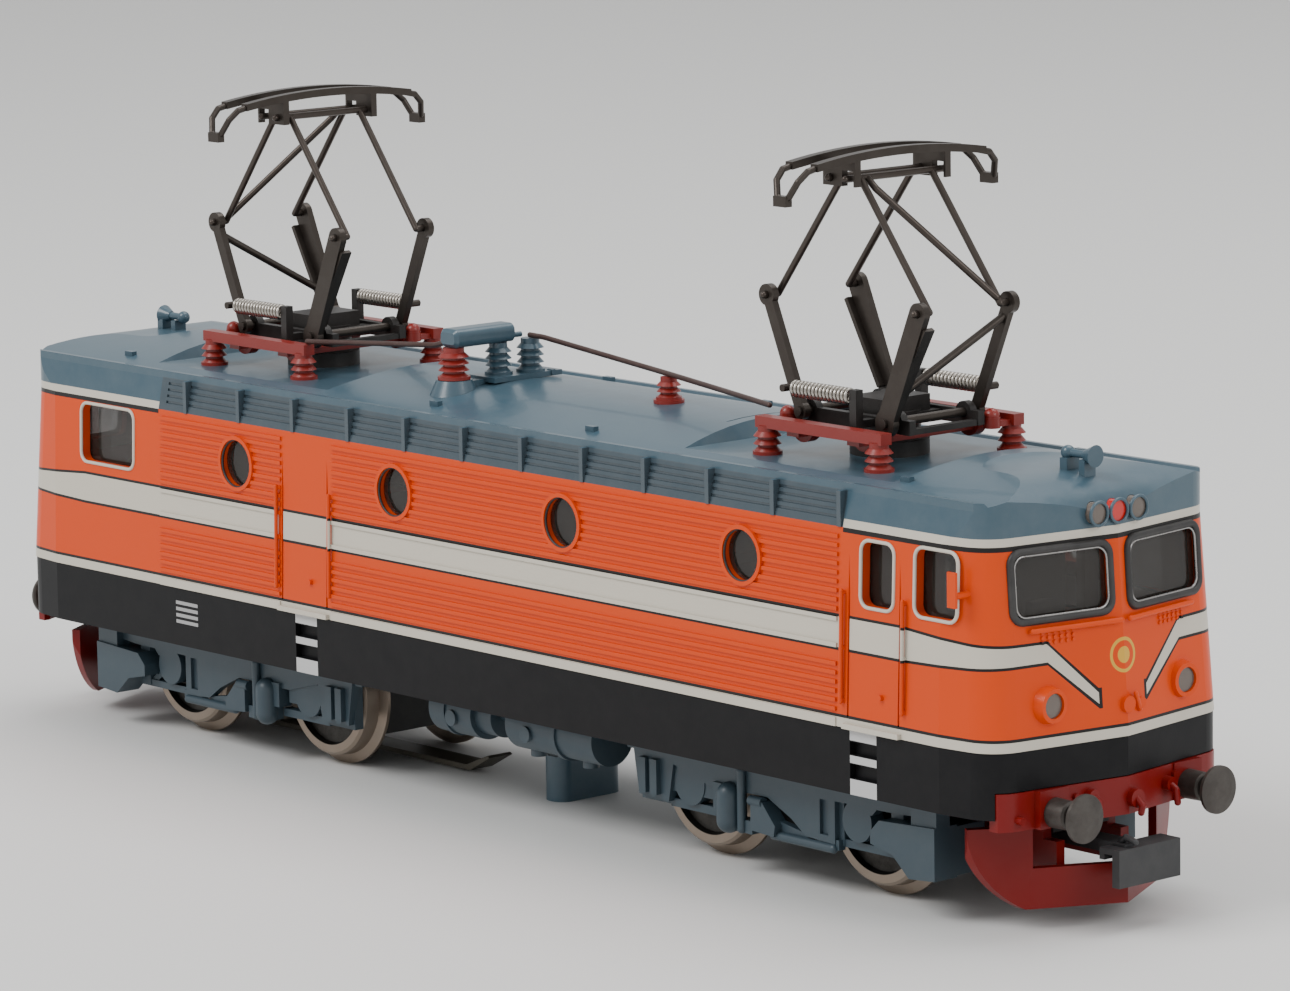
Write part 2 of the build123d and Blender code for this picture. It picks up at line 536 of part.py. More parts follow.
def upper_frame(side, diagonal):
    """Wire frame from the knuckle pins up to the head bar."""
    kx, hx = side * knuckle_x, side * head_bar_x
    y_in = arm_y - 1.35
    wires = []
    for y in (-1, 1):
        wires.append(rod([(kx, y * (arm_y + 0.75), knuckle_z), (kx, y * y_in, knuckle_z),
                          (hx + side * 1.5, y * y_in, head_bar_z - 1.9), (hx, y * y_in, head_bar_z),
                          (hx, y * (arm_y + 0.75), head_bar_z)], wire_radius))
    wires.append(rod([(hx, -y_in, head_bar_z), (hx, y_in, head_bar_z)], wire_radius))
    if diagonal:
        wires.append(rod([(kx - side * 0.3, side * (y_in - 0.2), knuckle_z + 0.6),
                          (hx + side * 1.4, -side * (y_in - 0.9), head_bar_z - 1.1),
                          (hx, -side * (y_in - 0.9), head_bar_z)], wire_radius))
    frame = wires[0] + wires[1:]
    return frame


def contact_head():
    """Two curved contact strips on two brackets, with bent horns at the ends."""
    head = None
    for x in (-1.9, 1.9):
        with BuildPart() as strip:
            with BuildSketch(Plane.YZ.offset(x - 0.55)):
                with BuildLine():
                    ThreePointArc((-head_half_length, 75.0), (0, 75.9), (head_half_length, 75.0))
                    Line((head_half_length, 75.0), (head_half_length, 75.8))
                    ThreePointArc((head_half_length, 75.8), (0, 76.75), (-head_half_length, 75.8))
                    Line((-head_half_length, 75.8), (-head_half_length, 75.0))
                make_face()
            extrude(amount=1.1)
        pieces = [strip.part]
        for sign in (1, -1):
            pieces.append(rod([(x, sign * (head_half_length - 0.5), 75.4), (x, sign * (head_half_length + 0.9), 75.1),
                               (x * 0.85, sign * (head_half_length + 2.0), 74.1),
                               (x * 0.45, sign * (horn_tip_y - 0.2), horn_tip_z + 0.6),
                               (0, sign * horn_tip_y, horn_tip_z)], 0.36))
        head = pieces[0] + pieces[1:] if head is None else head + pieces
    extras = []
    for sign in (1, -1):
        y0, y1 = sorted((sign * (arm_y - 0.4), sign * (arm_y + 0.4)))
        extras.append(block(-2.45, 2.45, y0, y1, 73.0, 75.7))
        tip0, tip1 = sorted((sign * (horn_tip_y - 0.55), sign * (horn_tip_y + 0.35)))
        extras.append(block(-0.95, 0.95, tip0, tip1, horn_tip_z - 0.35, horn_tip_z + 0.75))
    head = head + extras
    holes = []
    for sign in (1, -1):
        y0, y1 = sorted((sign * (arm_y - 0.8), sign * (arm_y + 0.8)))
        holes.append(disc_y(-head_bar_x, y0, y1, head_bar_z, wire_radius + pin_gap))
        # open fork that straddles the bar of the other frame
        holes.append(block(head_bar_x - 0.85, head_bar_x + 0.85, y0, y1, 72.5, head_bar_z + 0.85))
    return head - holes


def base_frame():
    """Black pivot frame on its centre drum."""
    rails = [block(-8.7, 8.7, y - 0.45, y + 0.45, 47.7, 49.2) for y in (-4.9, 4.9)]
    rails += [block(x - 0.5, x + 0.5, -4.9, 4.9, 47.7, 48.3) for x in (-8.1, 8.1)]
    rails += [block(x - 0.6, x + 0.6, -4.9, 4.9, 47.7, 48.9) for x in (-2.6, 2.6)]
    rails += [disc_y(x, y - 0.45, y + 0.45, pivot_z, 1.15) for x in (-pivot_x, pivot_x) for y in (-4.9, 4.9)]
    with BuildPart(Plane(origin=(0, 0, pantograph_deck_z))) as drum:
        Cylinder(4.2, 1.6, align=(Align.CENTER, Align.CENTER, Align.MIN))
        Cylinder(3.3, 4.6, align=(Align.CENTER, Align.CENTER, Align.MIN))
    rails += [drum.part, block(-2.6, 2.6, -3.4, 3.4, 48.5, 50.6)]
    # posts that hold the fixed ends of the two springs
    for s in (1, -1):
        rails.append(block(*sorted((s * 2.6, s * 3.6)), *sorted((-s * 8.1, -s * 4.6)), 48.2, 49.0))
        rails.append(block(*sorted((s * 2.6, s * 3.6)), *sorted((-s * 8.1, -s * 7.1)), 48.2, 52.2))
    base = rails[0] + rails[1:]
    bores = [disc_y(x, y - 1, y + 1, pivot_z, 0.5 + pin_gap) for x in (-pivot_x, pivot_x) for y in (-4.9, 4.9)]
    return base - bores


def insulated_frame():
    """Red moulded frame: two long bars on four ribbed insulators, tied under the base."""
    parts = []
    for y in (-insulator_y, insulator_y):
        parts.append(block(-insulator_x - 1.1, insulator_x + 1.1, y - 0.75, y + 0.75, 47.3, 48.5))
        for x in (-insulator_x, insulator_x):
            parts.append(ribbed_post(x, y, pantograph_deck_z, 47.5, 1.5, 3))
    for x in (-4.6, 4.6):
        parts.append(block(x - 0.9, x + 0.9, -insulator_y, insulator_y, 46.7, 47.35))
        # dished web under the cross tie
        with BuildPart(Plane(origin=(x, -6.9, 46.8), x_dir=(1, 0, 0), z_dir=(0, -1, 0))) as web:
            Cylinder(1.7, 1.2, align=(Align.CENTER, Align.CENTER, Align.MIN), arc_size=180, rotation=(0, 0, 180))
        parts.append(web.part)
        parts.append(web.part.mirror(Plane.XZ))
    for s in (1, -1):
        with BuildPart(Plane(origin=(-s * insulator_x, -s * 6.6, 47.2))) as ball:
            Cylinder(0.9, 1.1, align=(Align.CENTER, Align.CENTER, Align.MIN))
            with Locations((0, 0, 1.25)):
                Sphere(0.85)
        parts.append(ball.part)
        parts.append(block(*sorted((-s * insulator_x - 0.6, -s * insulator_x + 0.6)),
                           *sorted((-s * insulator_y, -s * 6.0)), 47.3, 47.9))
    return parts[0] + parts[1:]


def coil(x0, x1, y, z):
    """Tension spring with closed ends, lying along X."""
    with BuildPart() as spring:
        with BuildLine():
            path = Helix(pitch=0.55, height=x1 - x0 - 0.4, radius=0.72)
        with BuildSketch(Plane(origin=path @ 0, z_dir=path % 0)):
            Circle(0.2)
        sweep(is_frenet=True)
    return spring.part.rotate(Axis.Y, 90).translate((x0 + 0.2, y, z))


lower_a, lower_b = lower_frame(-1, False), lower_frame(1, True)
upper_a, upper_b = upper_frame(-1, False), upper_frame(1, True)
head, base, red_frame = contact_head(), base_frame(), insulated_frame()
spring_a = coil(-6.6, 2.5, -7.6, 51.4)
spring_b = turned(spring_a)
for end, x, turn in (("front", front_pantograph_x, 0), ("rear", rear_pantograph_x, 1)):
    for label, piece in (("lower_frame_a", lower_a), ("lower_frame_b", lower_b), ("upper_frame_a", upper_a),
                         ("upper_frame_b", upper_b), ("contact_head", head), ("pivot_base", base),
                         ("insulated_frame", red_frame), ("spring_a", spring_a), ("spring_b", spring_b)):
        placed = (turned(piece) if turn else piece).translate((x, 0, 0))
        save(placed, f"pantograph_{end}_{label}")

# ---------------------------------------------------------------- bogies
def profile_xz(points, y0, y1):
    """A flat piece cut to an outline in XZ, thick from y0 to y1."""
    with BuildPart() as piece:
        with BuildSketch(Plane(origin=(0, y0, 0), x_dir=(1, 0, 0), z_dir=(0, -1, 0))):
            with BuildLine():
                Polyline(*points, close=True)
            make_face()
        extrude(amount=-(y1 - y0))
    return piece.part


def bogie_block():
    """Metal bogie block: axle bores, drive housing, pivot pin and the nose that carries the coupler."""
    parts = [block(-17, 19, -5.2, 5.2, 3.4, 15.8), block(7, 17, -6.5, 6.5, 15.7, 24.4),
             block(18.8, 32.5, -4, 4, 8.9, 10.7)]
    with BuildPart(Plane(origin=(0, 0, 15.7))) as pivot:
        Cylinder(3.0, 1.7, align=(Align.CENTER, Align.CENTER, Align.MIN))
        Cylinder(1.0, 4.6, align=(Align.CENTER, Align.CENTER, Align.MIN))
    with BuildPart(Plane(origin=(coupler_pivot_x - bogie_x, 0, 6.9))) as pin:
        Cylinder(0.9, 2.2, align=(Align.CENTER, Align.CENTER, Align.MIN))
    parts += [pivot.part, pin.part, disc_y(12, -7.2, -6.4, 20, 3.2)]
    body = parts[0] + parts[1:]
    cuts = [disc_y(x, -6, 6, axle_z, axle_radius + axle_running_gap) for x in (-half_wheelbase, half_wheelbase)]
    for x in (-8, 8):
        with BuildPart(Plane(origin=(x, 0, 3.3))) as bore:
            Cylinder(0.87, 3.4, align=(Align.CENTER, Align.CENTER, Align.MIN))
        cuts.append(bore.part)
    return body - cuts


def side_frames():
    """Moulded side frames with their boxes and dampers, joined by an end bridge."""
    outline = [(-21.9, 12.1), (26.0, 12.1), (26.0, 10.7), (19.5, 10.2), (9.9, 10.1), (9.9, 5.5), (5.4, 5.7),
               (3.2, 7.2), (-0.5, 8.9), (-10.0, 8.8), (-15.4, 10.2), (-16.2, 6.0), (-21.0, 6.2), (-21.9, 11.6)]
    parts = [profile_xz(outline, -13.3, -12.3)]
    # right-hand pedestal, axle covers and lower bars
    parts.append(block(10.0, 19.4, -12.6, -11.4, 5.3, 6.1))
    parts.append(disc_y(half_wheelbase, -13.2, -11.4, axle_z, 2.2))
    parts.append(profile_xz([(10.4, 10.4), (11.5, 10.4), (18.8, 5.6), (17.7, 5.4)], -12.4, -11.6))
    parts.append(block(9.7, 10.7, -12.7, -11.4, 5.4, 10.8))
    parts.append(block(17.8, 19.6, -12.7, -11.4, 5.4, 10.8))
    parts.append(profile_xz([(11.6, 10.6), (16.6, 10.6), (15.4, 9.4), (12.4, 9.4)], -13.2, -12.0))
    parts.append(block(-21.3, -16.6, -12.6, -11.4, 5.6, 11.6))
    parts.append(block(-20.4, -17.5, -13.9, -13.1, 6.6, 10.4))
    parts.append(disc_y(-half_wheelbase, -13.0, -11.4, axle_z, 2.4))
    parts.append(block(-16.4, -9.5, -12.9, -11.6, 7.2, 10.0))
    parts.append(block(-16.6, -8.0, -12.6, -11.4, 5.4, 6.3))
    # damper and spring cluster in the middle
    parts.append(block(-8.6, -7.2, -13.7, -12.0, 6.6, 9.4))
    parts.append(rod([(-6.2, -13.6, 5.6), (-6.2, -13.6, 8.4)], 1.35))
    parts.append(block(-7.4, -4.9, -13.5, -12.2, 4.9, 9.2))
    parts.append(rod([(-4.2, -13.6, 5.0), (-4.2, -13.6, 11.2)], 0.5))
    parts.append(block(-5.4, -2.6, -13.6, -12.2, 4.6, 6.0))
    parts.append(profile_xz([(-2.4, 8.6), (-0.6, 8.4), (1.4, 6.2), (1.2, 5.0), (-2.4, 5.2)], -14.0, -12.2))
    parts.append(disc_x(-2.8, -0.8, -13.6, 8.3, 0.55))
    parts.append(rod([(0.4, -13.2, 5.0), (9.6, -13.2, 5.0)], 0.5))
    parts.append(profile_xz([(0.6, 6.6), (5.6, 5.8), (5.6, 4.8), (0.6, 4.6)], -13.0, -12.2))
    parts.append(block(7.0, 10.4, -13.2, -12.3, 4.9, 6.0))
    # sand box in front of the outer wheel
    parts.append(profile_xz([(16.5, 6.9), (16.5, 8.2), (17.8, 9.5), (26.0, 9.9), (26.0, 4.4), (22.2, 4.1),
                             (19.8, 6.2)], -14.5, -11.3))
    parts.append(block(22.3, 26.0, -14.5, -7.4, 4.6, 9.7))
    parts.append(block(22.3, 26.0, -14.2, -12.3, 9.5, 11.9))
    one = parts[0] + parts[1:]
    slots = [block(7.6, 8.9, -13.9, -12.9, 6.3, 10.0), block(-19.3, -18.6, -14.5, -13.4, 6.4, 10.6)]
    one = one - slots
    bridge = block(22.4, 24.2, -13.0, 13.0, 11.0, 12.1)
    rear_bridge = block(-21.9, -21.75, -13.0, 13.0, 11.2, 12.1)
    inner = block(-23.2, -21.75, -13.0, 13.0, 10.9, 12.1)
    return one + [one.mirror(Plane.XZ), bridge, rear_bridge, inner]


def plow():
    """Red V-shaped snow plough with swept wings and two brackets."""
    t = 0.9
    with BuildPart() as blade:
        with BuildSketch(Plane.XY.offset(2.1)):
            with BuildLine():
                half = [(85.4, 0), (80.6, 9.2), (77.2, 14.6)]
                Polyline(*half, (76.3, 14.1), (79.7, 8.7), (84.4, 0), (79.7, -8.7), (76.3, -14.1), (77.2, -14.6),
                         (80.6, -9.2), close=True)
            make_face()
        extrude(amount=8.5)
    cuts = [block(70, 90, -8.9, 8.9, 6.3, 12)]
    # the wings curve up and outwards
    for s in (1, -1):
        with BuildPart() as curve:
            with BuildSketch(Plane.YZ.offset(70)):
                with BuildLine():
                    Polyline((s * 9.4, 0), (s * 16, 0), (s * 16, 10.0), (s * 14.7, 10.0))
                    Spline((s * 14.7, 10.0), (s * 13.2, 5.6), (s * 11.4, 3.4), (s * 9.4, 2.0))
                    Line((s * 9.4, 2.0), (s * 9.4, 0))
                make_face()
            extrude(amount=20)
        cuts.append(curve.part)
    brackets = []
    for s in (1, -1):
        brackets.append(block(66.5, 80.4, *sorted((s * 4.05, s * 5.2)), 5.0, 8.4))
        brackets.append(block(66.5, 78.5, *sorted((s * 4.05, s * 5.2)), 8.2, 10.6))
    return (blade.part - cuts) + brackets


def wheelset():
    """Two wheels on one axle, as one turned profile about Y."""
    f, r = tread_radius + flange_depth, tread_radius
    half = [(0, 0), (axle_radius, 0), (axle_radius, 5.6), (1.9, 5.6), (1.9, wheel_inner_y), (f - 0.6, wheel_inner_y),
            (f, wheel_inner_y + 0.3), (f, wheel_inner_y + 0.7), (r + 0.15, wheel_inner_y + 1.1),
            (r - 0.05, wheel_outer_y - 0.3), (r - 0.35, wheel_outer_y), (r - 1.25, wheel_outer_y),
            (r - 1.45, wheel_outer_y - 0.7), (2.2, wheel_outer_y - 0.7), (2.0, wheel_outer_y - 0.1),
            (axle_radius, wheel_outer_y), (0.7, wheel_outer_y + 0.5), (0, wheel_outer_y + 0.5)]
    with BuildPart() as wheel:
        with BuildSketch(Plane.XY):
            with BuildLine():
                Polyline(*half, close=True)
            make_face()
        revolve(axis=Axis.Y)
    one = wheel.part
    return (one + one.mirror(Plane.XZ)).translate((0, 0, axle_z))


def coupler():
    """Swinging coupler: pivot eye, arm and broad striking plate with its hook."""
    with BuildPart(Plane(origin=(coupler_pivot_x, 0, 7.2))) as eye_ring:
        Cylinder(2.0, 1.2, align=(Align.CENTER, Align.CENTER, Align.MIN))
    parts = [block(coupler_pivot_x + 1.2, 88.0, -1.3, 1.3, 7.2, 8.4), block(87.5, 88.5, -4.4, 4.4, 4.7, 8.6),
             block(85.7, 88.0, -4.4, 4.4, 8.0, 8.6), block(85.7, 86.4, -4.4, 4.4, 7.4, 8.3),
             rod([(86.2, -2.2, 8.6), (87.3, -2.2, 9.5), (88.6, -2.2, 9.2)], 0.35),
             block(85.6, 87.8, -2.9, -1.5, 8.4, 8.9)]
    body = eye_ring.part + parts
    with BuildPart(Plane(origin=(coupler_pivot_x, 0, 7.0))) as hole:
        Cylinder(0.9 + pin_gap, 2, align=(Align.CENTER, Align.CENTER, Align.MIN))
    return body - hole.part


block_local, frames_local = bogie_block(), side_frames()
front_block = block_local.translate((bogie_x, 0, 0))
front_frames = frames_local.translate((bogie_x, 0, 0))
axle = wheelset()
plow_part, coupler_part = plow(), coupler()
for end, turn in (("front", 0), ("rear", 1)):
    for label, piece in (("bogie_block", front_block), ("bogie_side_frames", front_frames),
                         ("snow_plow", plow_part), ("coupler", coupler_part),
                         ("wheelset_outer", axle.translate((bogie_x + half_wheelbase, 0, 0))),
                         ("wheelset_inner", axle.translate((bogie_x - half_wheelbase, 0, 0)))):
        save(turned(piece) if turn else piece, f"{label}_{end}")

# collector shoe under the rear bogie, guided by two posts
shoe = profile_xz([(14.3, 2.3), (14.7, 2.5), (18.5, 0.95), (57.5, 0.95), (61.0, 2.4), (61.4, 2.2), (58.0, 0.35),
                   (18.0, 0.35)], -1.7, 1.7)
posts = []
for x in (-8, 8):
    with BuildPart(Plane(origin=(bogie_x + x, 0, 0.8))) as post:
        Cylinder(0.82, 4.2, align=(Align.CENTER, Align.CENTER, Align.MIN))
    posts.append(post.part)
save(turned(shoe + posts), "collector_shoe")

# ---------------------------------------------------------------- tanks under the middle
tanks = [block(-20, 20, -14.6, 14.6, 13.6, 14.4), block(-3, 3, -6, 6, 14.3, 17.55)]
for s in (1, -1):
    pieces = [disc_x(-8.5, -1.2, -12.0, 11.0, 3.0), disc_x(-1.3, 1.6, -12.0, 11.0, 2.4),
              disc_x(-6.2, -5.6, -12.0, 11.0, 3.2), disc_x(4.8, 19.4, -12.0, 11.0, 3.0),
              disc_x(12.6, 13.4, -12.0, 11.0, 3.25), disc_x(1.4, 5.0, -12.0, 11.4, 1.0),
              disc_y(-4.4, -15.3, -13.0, 10.4, 0.9), disc_y(8.4, -15.3, -13.0, 10.4, 0.9),
              block(-8.0, -2.0, -14.4, -9.6, 12.0, 13.8), block(5.4, 18.6, -14.4, -9.6, 12.0, 13.8)]
    for x in (7.0, 15.8):
        with BuildPart(Plane(origin=(x, -12.0, 7.4))) as drain:
            Cylinder(0.9, 2, align=(Align.CENTER, Align.CENTER, Align.MIN))
        pieces.append(drain.part)
    tanks += pieces if s > 0 else [turned(p) for p in pieces]
save(tanks[0] + tanks[1:], "air_tanks")
print(len(files), "pieces")
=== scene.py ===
import json
import logging
import math
from dataclasses import dataclass
from enum import Enum
from typing import Callable, Optional, Sequence

import bmesh
import bpy
from mathutils import Matrix, Vector


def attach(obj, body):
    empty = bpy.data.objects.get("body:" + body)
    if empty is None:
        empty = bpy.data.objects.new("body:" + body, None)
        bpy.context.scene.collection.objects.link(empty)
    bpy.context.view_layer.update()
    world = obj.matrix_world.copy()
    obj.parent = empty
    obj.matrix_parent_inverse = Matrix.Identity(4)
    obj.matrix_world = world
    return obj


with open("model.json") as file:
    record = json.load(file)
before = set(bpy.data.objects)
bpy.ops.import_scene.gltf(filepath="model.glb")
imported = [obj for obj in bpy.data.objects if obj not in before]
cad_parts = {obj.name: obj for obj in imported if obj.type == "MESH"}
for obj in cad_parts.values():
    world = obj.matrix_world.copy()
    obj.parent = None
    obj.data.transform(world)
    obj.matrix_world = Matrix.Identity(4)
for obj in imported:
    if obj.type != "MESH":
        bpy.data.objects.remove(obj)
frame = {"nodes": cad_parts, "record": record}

log = logging.getLogger("locomotive")
logging.basicConfig(level=logging.INFO, format="%(name)s: %(message)s")

MM = 0.001
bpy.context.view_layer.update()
Point = tuple[float, float, float]


# ------------------------------------------------------------------ sizes shared by the pieces, in mm
class Half(Enum):
    """The two halves of the locomotive; each side repeats after half a turn."""

    NEAR = 1
    FAR = -1


@dataclass(frozen=True)
class Opening:
    """A round-cornered opening in the side that faces -Y, in millimetres."""

    x0: float
    x1: float
    z0: float
    z1: float


CAB_DOOR = Opening(64.4, 69.2, 32.15, 38.95)
DRIVER_SMALL = Opening(72.3, 78.4, 32.2, 39.2)
DRIVER_LARGE = Opening(-70.6, -60.2, 32.2, 39.1)
NOSE_WINDOW_Y = (1.35, 13.2)
NOSE_WINDOW_Z = (32.3, 39.1)
PORTHOLES_X = (-40.1, -11.2, 17.6, 46.4)
PORTHOLE_Z, PORTHOLE_R = 35.2, 2.75
AXLE_Z = 8.43


def side_y(z: float) -> float:
    """Half width of the body side.

    Args:
        z: Height in millimetres.

    Returns:
        Distance of the side from the middle plane in millimetres.
    """
    return 17.45 - 0.7 * (z - 19.35) / 20.55


def nose_x(y: float, z: float) -> float:
    """Front face of the shallow V nose.

    Args:
        y: Sideways place in millimetres.
        z: Height in millimetres.

    Returns:
        Distance of the nose face from the middle in millimetres.
    """
    t = (z - 19.35) / 20.55
    tip = 85.6 - 1.5 * t
    corner_x, corner_y = 83.0 - 1.4 * t, 16.6 - 0.7 * t
    return tip - (tip - corner_x) * abs(y) / corner_y


# ------------------------------------------------------------------ shader building
class Shader:
    """A small builder for one material's node tree."""

    def __init__(self, name: str) -> None:
        """Starts an empty material with a Principled shader.

        Args:
            name: Material name.
        """
        self.material = bpy.data.materials.new(name)
        self.material.use_nodes = True
        self.tree = self.material.node_tree
        self.tree.nodes.clear()
        self.output = self.tree.nodes.new("ShaderNodeOutputMaterial")
        self.surface = self.tree.nodes.new("ShaderNodeBsdfPrincipled")
        self.link(self.surface.outputs[0], self.output.inputs[0])
        coords = self.tree.nodes.new("ShaderNodeTexCoord")
        scale = self.tree.nodes.new("ShaderNodeVectorMath")
        scale.operation = "SCALE"
        scale.inputs["Scale"].default_value = 1000.0
        self.link(coords.outputs["Object"], scale.inputs[0])
        self.place = scale.outputs[0]
        split = self.tree.nodes.new("ShaderNodeSeparateXYZ")
        self.link(self.place, split.inputs[0])
        self.x, self.y, self.z = split.outputs[0], split.outputs[1], split.outputs[2]

    def link(self, source: bpy.types.NodeSocket, target: bpy.types.NodeSocket) -> None:
        """Joins two sockets.

        Args:
            source: Output socket.
            target: Input socket.
        """
        self.tree.links.new(source, target)

    def feed(self, socket: bpy.types.NodeSocket, value) -> None:
        """Sets a socket from a number, a colour or another socket.

        Args:
            socket: Input socket to set.
            value: Number, RGB tuple or output socket.
        """
        if isinstance(value, bpy.types.NodeSocket):
            self.link(value, socket)
        elif isinstance(value, tuple):
            needs_alpha = len(value) == 3 and len(socket.default_value) == 4
            socket.default_value = (*value, 1.0) if needs_alpha else value
        else:
            socket.default_value = value

    def math(self, operation: str, *values) -> bpy.types.NodeSocket:
        """Adds a Math node.

        Args:
            operation: Blender's name of the operation.
            *values: Numbers or sockets.

        Returns:
            The node's result socket.
        """
        node = self.tree.nodes.new("ShaderNodeMath")
        node.operation = operation
        for socket, value in zip(node.inputs, values):
            self.feed(socket, value)
        return node.outputs[0]

    def ramp(self, value, low: float, high: float, out_low: float, out_high: float) -> bpy.types.NodeSocket:
        """Maps a value linearly between two limits, clamped.

        Args:
            value: Socket to map.
            low: Input at the low end.
            high: Input at the high end.
            out_low: Result at the low end.
            out_high: Result at the high end.

        Returns:
            The mapped value.
        """
        node = self.tree.nodes.new("ShaderNodeMapRange")
        for socket, item in zip(node.inputs, (value, low, high, out_low, out_high)):
            self.feed(socket, item)
        return node.outputs[0]

    def between(self, value, low, high) -> bpy.types.NodeSocket:
        """A mask that is 1 where low < value < high.

        Args:
            value: Socket to test.
            low: Lower limit, number or socket.
            high: Upper limit, number or socket.

        Returns:
            The mask.
        """
        return self.math("MULTIPLY", self.math("GREATER_THAN", value, low),
                         self.math("LESS_THAN", value, high))

    def both(self, *masks) -> bpy.types.NodeSocket:
        """Product of masks.

        Args:
            *masks: Mask sockets.

        Returns:
            A mask that is 1 where every mask is.
        """
        result = masks[0]
        for mask in masks[1:]:
            result = self.math("MULTIPLY", result, mask)
        return result

    def either(self, *masks) -> bpy.types.NodeSocket:
        """Largest of masks.

        Args:
            *masks: Mask sockets.

        Returns:
            A mask that is 1 where any mask is.
        """
        result = masks[0]
        for mask in masks[1:]:
            result = self.math("MAXIMUM", result, mask)
        return result

    def mix(self, factor, first, second) -> bpy.types.NodeSocket:
        """Mixes two colours.

        Args:
            factor: 0 for the first, 1 for the second.
            first: Colour or socket.
            second: Colour or socket.

        Returns:
            The mixed colour.
        """
        node = self.tree.nodes.new("ShaderNodeMix")
        node.data_type = "RGBA"
        self.feed(node.inputs[0], factor)
        self.feed(node.inputs[6], first)
        self.feed(node.inputs[7], second)
        return node.outputs[2]

    def group(self, group: bpy.types.NodeTree, **inputs) -> bpy.types.Node:
        """Adds a shared effect.

        Args:
            group: Node group.
            **inputs: Values for its inputs, with _ for a space.

        Returns:
            The group node.
        """
        node = self.tree.nodes.new("ShaderNodeGroup")
        node.node_tree = group
        for key, value in inputs.items():
            self.feed(node.inputs[key.replace("_", " ")], value)
        return node

    def noise(self, scale: float, detail: float = 3.0, rough: float = 0.55) -> bpy.types.NodeSocket:
        """Object-space noise.

        Args:
            scale: Frequency per millimetre.
            detail: Octaves.
            rough: Roughness of the octaves.

        Returns:
            Factor socket.
        """
        node = self.tree.nodes.new("ShaderNodeTexNoise")
        self.link(self.place, node.inputs["Vector"])
        node.inputs["Scale"].default_value = scale
        node.inputs["Detail"].default_value = detail
        node.inputs["Roughness"].default_value = rough
        return node.outputs[0]


class Effects:
    """Shared node groups: handling dust and moulding grain."""

    @staticmethod
    def _new(name: str, inputs: Sequence[tuple[str, str, float]], outputs: Sequence[tuple[str, str]]):
        """Makes a group with its sockets.

        Args:
            name: Group name.
            inputs: (name, socket type, default) rows.
            outputs: (name, socket type) rows.

        Returns:
            The tree, its input node and its output node.
        """
        tree = bpy.data.node_groups.new(name, "ShaderNodeTree")
        for label, kind, default in inputs:
            socket = tree.interface.new_socket(label, in_out="INPUT", socket_type=kind)
            if kind == "NodeSocketFloat":
                socket.default_value = default
        for label, kind in outputs:
            tree.interface.new_socket(label, in_out="OUTPUT", socket_type=kind)
        return tree, tree.nodes.new("NodeGroupInput"), tree.nodes.new("NodeGroupOutput")

    def __init__(self) -> None:
        """Builds both groups."""
        tree, gin, gout = self._new("dust_film", [("Color", "NodeSocketColor", 0), ("Roughness", "NodeSocketFloat", 0.4),
                                                  ("Place", "NodeSocketVector", 0), ("Amount", "NodeSocketFloat", 0.2)],
                                    [("Color", "NodeSocketColor"), ("Roughness", "NodeSocketFloat")])
        noise = tree.nodes.new("ShaderNodeTexNoise")
        noise.inputs["Scale"].default_value = 0.35
        noise.inputs["Detail"].default_value = 6.0
        noise.inputs["Roughness"].default_value = 0.7
        tree.links.new(gin.outputs["Place"], noise.inputs["Vector"])
        spread = tree.nodes.new("ShaderNodeMapRange")
        for i, v in enumerate((0.5, 0.35, 0.75, 0.0, 1.0)):
            if i:
                spread.inputs[i].default_value = v
        tree.links.new(noise.outputs[0], spread.inputs[0])
        amount = tree.nodes.new("ShaderNodeMath")
        amount.operation = "MULTIPLY"
        tree.links.new(spread.outputs[0], amount.inputs[0])
        tree.links.new(gin.outputs["Amount"], amount.inputs[1])
        blend = tree.nodes.new("ShaderNodeMix")
        blend.data_type = "RGBA"
        blend.inputs[7].default_value = (0.42, 0.40, 0.37, 1)
        tree.links.new(amount.outputs[0], blend.inputs[0])
        tree.links.new(gin.outputs["Color"], blend.inputs[6])
        rough = tree.nodes.new("ShaderNodeMath")
        rough.operation = "ADD"
        tree.links.new(gin.outputs["Roughness"], rough.inputs[0])
        tree.links.new(amount.outputs[0], rough.inputs[1])
        tree.links.new(blend.outputs[2], gout.inputs["Color"])
        tree.links.new(rough.outputs[0], gout.inputs["Roughness"])
        self.dust = tree

        tree, gin, gout = self._new("fine_grain", [("Place", "NodeSocketVector", 0), ("Scale", "NodeSocketFloat", 6.0),
                                                   ("Depth", "NodeSocketFloat", 0.02)], [("Normal", "NodeSocketVector")])
        noise = tree.nodes.new("ShaderNodeTexNoise")
        noise.inputs["Detail"].default_value = 4.0
        tree.links.new(gin.outputs["Place"], noise.inputs["Vector"])
        tree.links.new(gin.outputs["Scale"], noise.inputs["Scale"])
        bump = tree.nodes.new("ShaderNodeBump")
        bump.inputs["Distance"].default_value = 0.00004
        tree.links.new(gin.outputs["Depth"], bump.inputs["Strength"])
        tree.links.new(noise.outputs[0], bump.inputs["Height"])
        tree.links.new(bump.outputs[0], gout.inputs["Normal"])
        self.grain = tree


